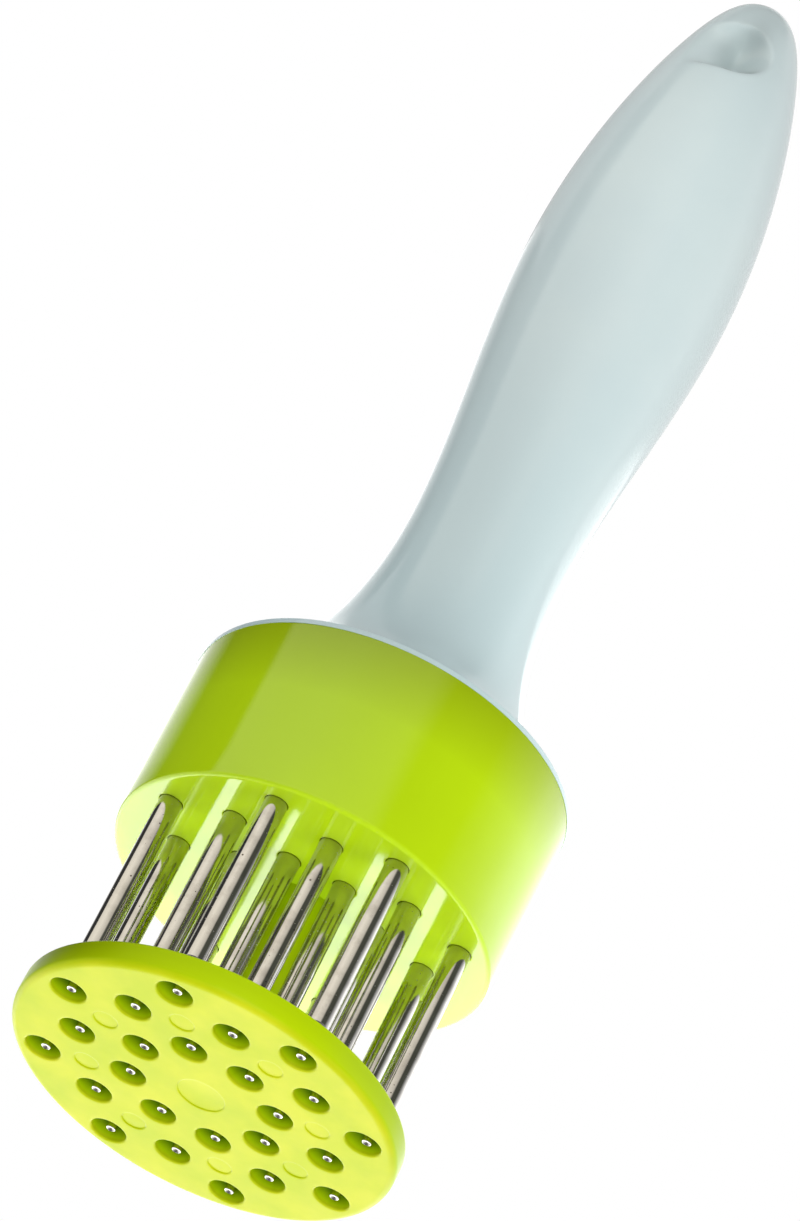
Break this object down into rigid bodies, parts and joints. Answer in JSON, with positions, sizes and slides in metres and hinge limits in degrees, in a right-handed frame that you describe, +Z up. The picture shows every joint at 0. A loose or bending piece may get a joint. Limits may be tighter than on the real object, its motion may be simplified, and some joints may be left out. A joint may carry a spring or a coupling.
{
  "type": "needle meat tenderizer",
  "caption": "Hand plunger with rings of steel needles in a round drum, a spring-loaded guard plate that covers the tips, and a bell-footed grip with a thumb dimple.",
  "frame": {"origin": "centre of the guard plate's underside, on which the tool stands", "axes": "+Z up the handle to its tip; the thumb dimple near the tip faces -Y"},
  "size_m": [0.0582, 0.0582, 0.2132],
  "materials": {
    "handle_plastic": "gloss moulded, pale mint",
    "lime_plastic": "gloss moulded, lime",
    "guard_plastic": "gloss moulded, lime",
    "inner_plastic": "moulded, pale",
    "needle_steel": "polished stainless steel",
    "fastener_steel": "plain stainless steel",
    "spring_steel": "drawn spring wire"
  },
  "bodies": {
    "tool": {"handle": "handle_plastic", "drum": "lime_plastic", "needle_clamp_disc": "inner_plastic", "return_spring": "spring_steel", "needle_inner_1": "needle_steel", "needle_inner_2": "needle_steel", "needle_inner_3": "needle_steel", "needle_inner_4": "needle_steel", "needle_inner_5": "needle_steel", "needle_inner_6": "needle_steel", "needle_inner_7": "needle_steel", "needle_inner_8": "needle_steel", "needle_middle_1": "needle_steel", "needle_middle_2": "needle_steel", "needle_middle_3": "needle_steel", "needle_middle_4": "needle_steel", "needle_middle_5": "needle_steel", "needle_middle_6": "needle_steel", "needle_middle_7": "needle_steel", "needle_middle_8": "needle_steel", "needle_outer_1": "needle_steel", "needle_outer_2": "needle_steel", "needle_outer_3": "needle_steel", "needle_outer_4": "needle_steel", "needle_outer_5": "needle_steel", "needle_outer_6": "needle_steel", "needle_outer_7": "needle_steel", "needle_outer_8": "needle_steel"},
    "guard": {"guard_plate": "guard_plastic", "stop_washer": "fastener_steel", "stop_screw": "fastener_steel"}
  },
  "joints": [
    {"name": "guard_slide", "type": "slide", "parent": "tool", "child": "guard", "axis": [0, 0, 1], "range_m": [0, 0.024], "stiffness_N_per_m": 480, "springref_m": -0.02, "deforming": ["return_spring"]}
  ]
}
